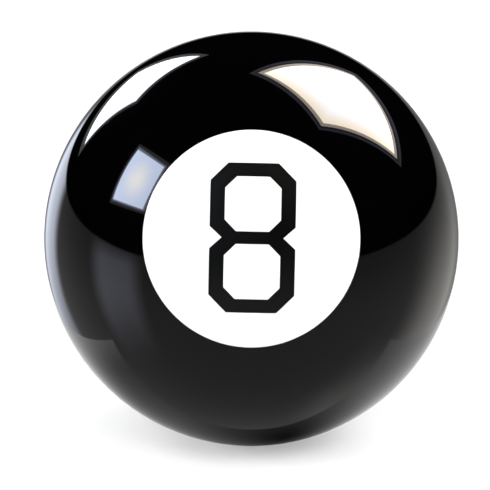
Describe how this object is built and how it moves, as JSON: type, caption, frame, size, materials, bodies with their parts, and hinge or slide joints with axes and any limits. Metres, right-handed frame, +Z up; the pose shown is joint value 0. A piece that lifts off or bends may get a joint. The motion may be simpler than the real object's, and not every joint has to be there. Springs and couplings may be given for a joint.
{
  "type": "fortune-telling eight ball",
  "caption": "Hollow black plastic ball with a white disc and block figure eight on one side, and a round window on a flat ring opposite, over a liquid-filled reservoir with a floating die.",
  "frame": {"origin": "the ball's lowest point, where it touches the table; the ball's centre is 50.8 mm above it", "axes": "+Z up; the number disc faces -Y and is tilted 17 degrees upward; the window faces the opposite way, +Y and 17 degrees downward; +X to the right when looking at the disc"},
  "size_m": [0.1016, 0.1004, 0.1016],
  "materials": {
    "black_plastic": "gloss",
    "white_plastic": "gloss",
    "figure_plastic": "gloss",
    "reservoir_plastic": "satin",
    "clear_plastic": "polished",
    "plug_rubber": "matte",
    "funnel_plastic": "satin",
    "die_plastic": "satin",
    "dyed_liquid": "polished"
  },
  "bodies": {
    "ball": {"number_shell": "black_plastic", "window_shell": "black_plastic", "number_disc": "white_plastic", "numeral_eight": "figure_plastic", "reservoir_tube": "reservoir_plastic", "window_cap": "clear_plastic", "reservoir_end_cap": "reservoir_plastic", "fill_plug": "plug_rubber", "bubble_funnel": "funnel_plastic"},
    "liquid": {"dyed_liquid": "dyed_liquid"},
    "die": {"die_window_half": "die_plastic", "die_back_half": "die_plastic"}
  },
  "joints": [
    {"name": "liquid_swirl", "type": "hinge", "parent": "ball", "child": "liquid", "pos_m": [0, 0, 0.0508], "axis": [0, 0.9563, -0.2924], "continuous": true},
    {"name": "die_float", "type": "slide", "parent": "liquid", "child": "die", "axis": [0, 0.9563, -0.2924], "range_m": [0, 0.025], "stiffness_N_per_m": 2, "springref_m": -0.04, "deforming": ["dyed_liquid"]}
  ]
}
